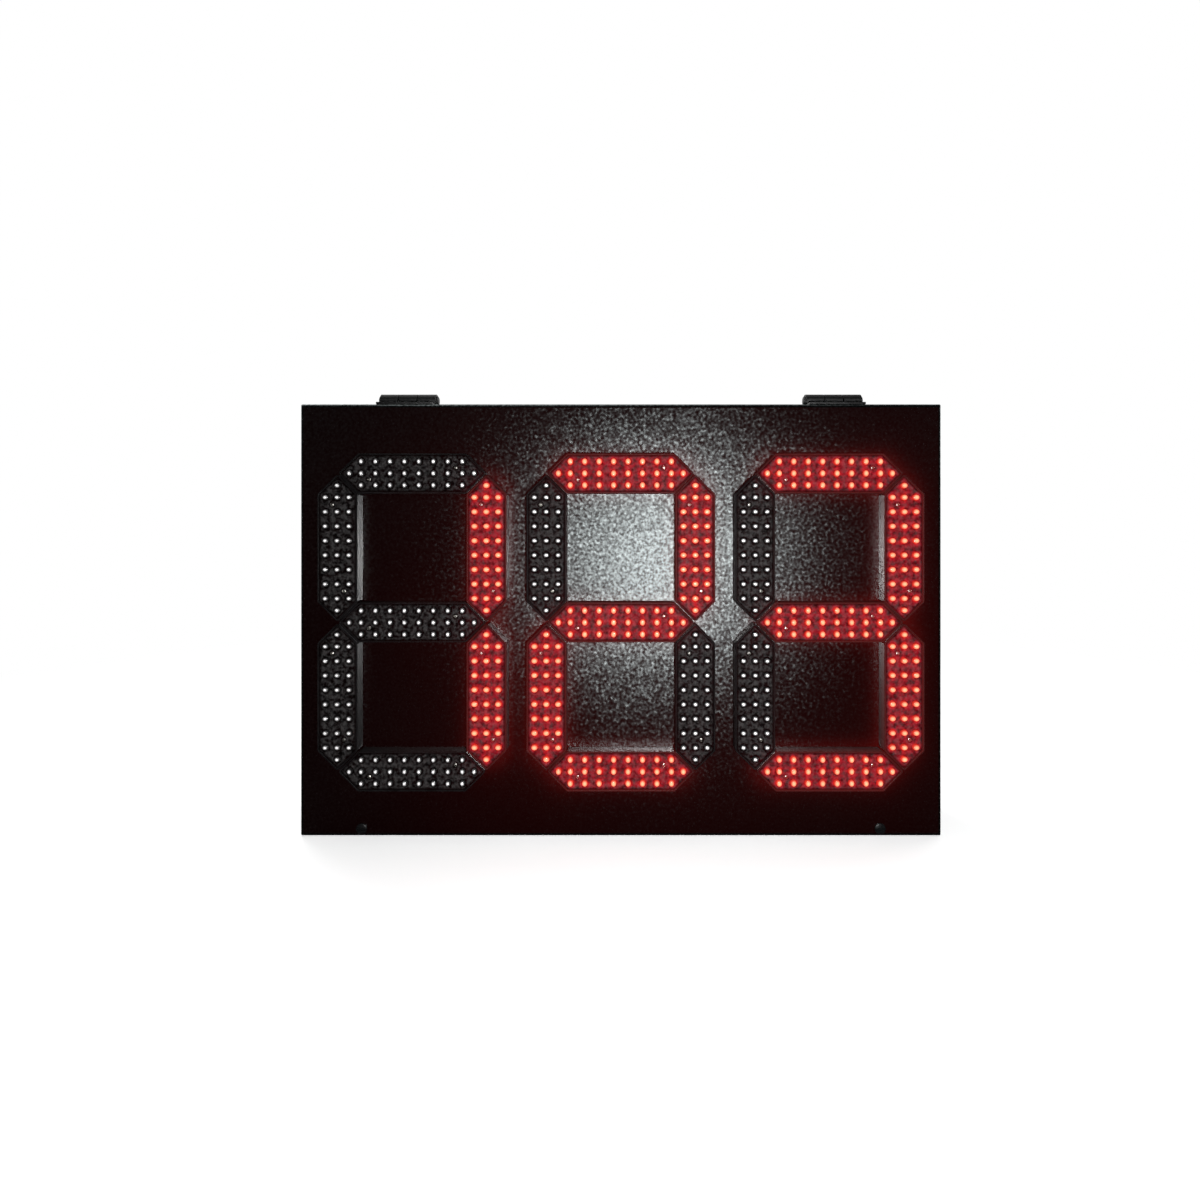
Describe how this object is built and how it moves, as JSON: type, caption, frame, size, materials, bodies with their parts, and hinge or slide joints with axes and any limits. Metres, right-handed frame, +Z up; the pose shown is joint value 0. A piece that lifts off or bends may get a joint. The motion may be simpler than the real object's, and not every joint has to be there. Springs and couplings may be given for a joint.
{
  "type": "led countdown display",
  "caption": "Wall-hung black countdown display with three seven-segment digits made of raised lamp modules, on a door hung from the top edge of a shallow steel cabinet.",
  "frame": {"origin": "middle of the whole part's box at its base, where the cabinet and the door stand", "axes": "+X to the reader's right, +Y away from the reader into the cabinet, +Z up"},
  "size_m": [0.494, 0.1116, 0.3432],
  "materials": {
    "textured_black": "black textured powder coat on sheet steel",
    "module_housing": "satin dark grey moulded plastic",
    "lamps_unlit": "clear lamps in dark potting, unlit",
    "lamps_lit": "red lamps in dark potting, lit",
    "hinge_black": "smooth black paint on steel",
    "fastener_steel": "blackened steel, slightly worn",
    "seal_rubber": "matt black foam rubber",
    "gland_nylon": "black nylon",
    "supply_zinc": "bare zinc-coated sheet",
    "board_green": "green circuit board with solder mask"
  },
  "bodies": {
    "cabinet_body": {"cabinet": "textured_black", "left_mounting_rail": "textured_black", "right_mounting_rail": "textured_black", "left_hinge_cabinet_leaf": "hinge_black", "right_hinge_cabinet_leaf": "hinge_black", "left_hinge_pin": "fastener_steel", "right_hinge_pin": "fastener_steel", "door_gasket": "seal_rubber", "cable_gland": "gland_nylon", "gland_nut": "gland_nylon", "power_supply": "supply_zinc", "control_board": "board_green"},
    "door_body": {"door_panel": "textured_black", "digit_1_top_housing": "module_housing", "digit_1_top_lamps": "lamps_unlit", "digit_1_upper_left_housing": "module_housing", "digit_1_upper_left_lamps": "lamps_unlit", "digit_1_upper_right_housing": "module_housing", "digit_1_upper_right_lamps": "lamps_lit", "digit_1_middle_housing": "module_housing", "digit_1_middle_lamps": "lamps_unlit", "digit_1_lower_left_housing": "module_housing", "digit_1_lower_left_lamps": "lamps_unlit", "digit_1_lower_right_housing": "module_housing", "digit_1_lower_right_lamps": "lamps_lit", "digit_1_bottom_housing": "module_housing", "digit_1_bottom_lamps": "lamps_unlit", "digit_2_top_housing": "module_housing", "digit_2_top_lamps": "lamps_lit", "digit_2_upper_left_housing": "module_housing", "digit_2_upper_left_lamps": "lamps_unlit", "digit_2_upper_right_housing": "module_housing", "digit_2_upper_right_lamps": "lamps_lit", "digit_2_middle_housing": "module_housing", "digit_2_middle_lamps": "lamps_lit", "digit_2_lower_left_housing": "module_housing", "digit_2_lower_left_lamps": "lamps_lit", "digit_2_lower_right_housing": "module_housing", "digit_2_lower_right_lamps": "lamps_unlit", "digit_2_bottom_housing": "module_housing", "digit_2_bottom_lamps": "lamps_lit", "digit_3_top_housing": "module_housing", "digit_3_top_lamps": "lamps_lit", "digit_3_upper_left_housing": "module_housing", "digit_3_upper_left_lamps": "lamps_unlit", "digit_3_upper_right_housing": "module_housing", "digit_3_upper_right_lamps": "lamps_lit", "digit_3_middle_housing": "module_housing", "digit_3_middle_lamps": "lamps_lit", "digit_3_lower_left_housing": "module_housing", "digit_3_lower_left_lamps": "lamps_unlit", "digit_3_lower_right_housing": "module_housing", "digit_3_lower_right_lamps": "lamps_lit", "digit_3_bottom_housing": "module_housing", "digit_3_bottom_lamps": "lamps_lit", "driver_board": "board_green", "left_hinge_door_leaf": "hinge_black", "right_hinge_door_leaf": "hinge_black"},
    "left_fastener_body": {"left_door_fastener": "fastener_steel"},
    "right_fastener_body": {"right_door_fastener": "fastener_steel"}
  },
  "joints": [
    {"name": "door_swing", "type": "hinge", "parent": "cabinet_body", "child": "door_body", "pos_m": [0, -0.02575, 0.3383], "axis": [-1, 0, 0], "range_deg": [0, 110]},
    {"name": "left_fastener_turn", "type": "hinge", "parent": "door_body", "child": "left_fastener_body", "pos_m": [-0.199, -0.04305, 0.0065], "axis": [0, 1, 0], "range_deg": [0, 90]},
    {"name": "right_fastener_turn", "type": "hinge", "parent": "door_body", "child": "right_fastener_body", "pos_m": [0.199, -0.04305, 0.0065], "axis": [0, 1, 0], "range_deg": [0, 90]}
  ]
}
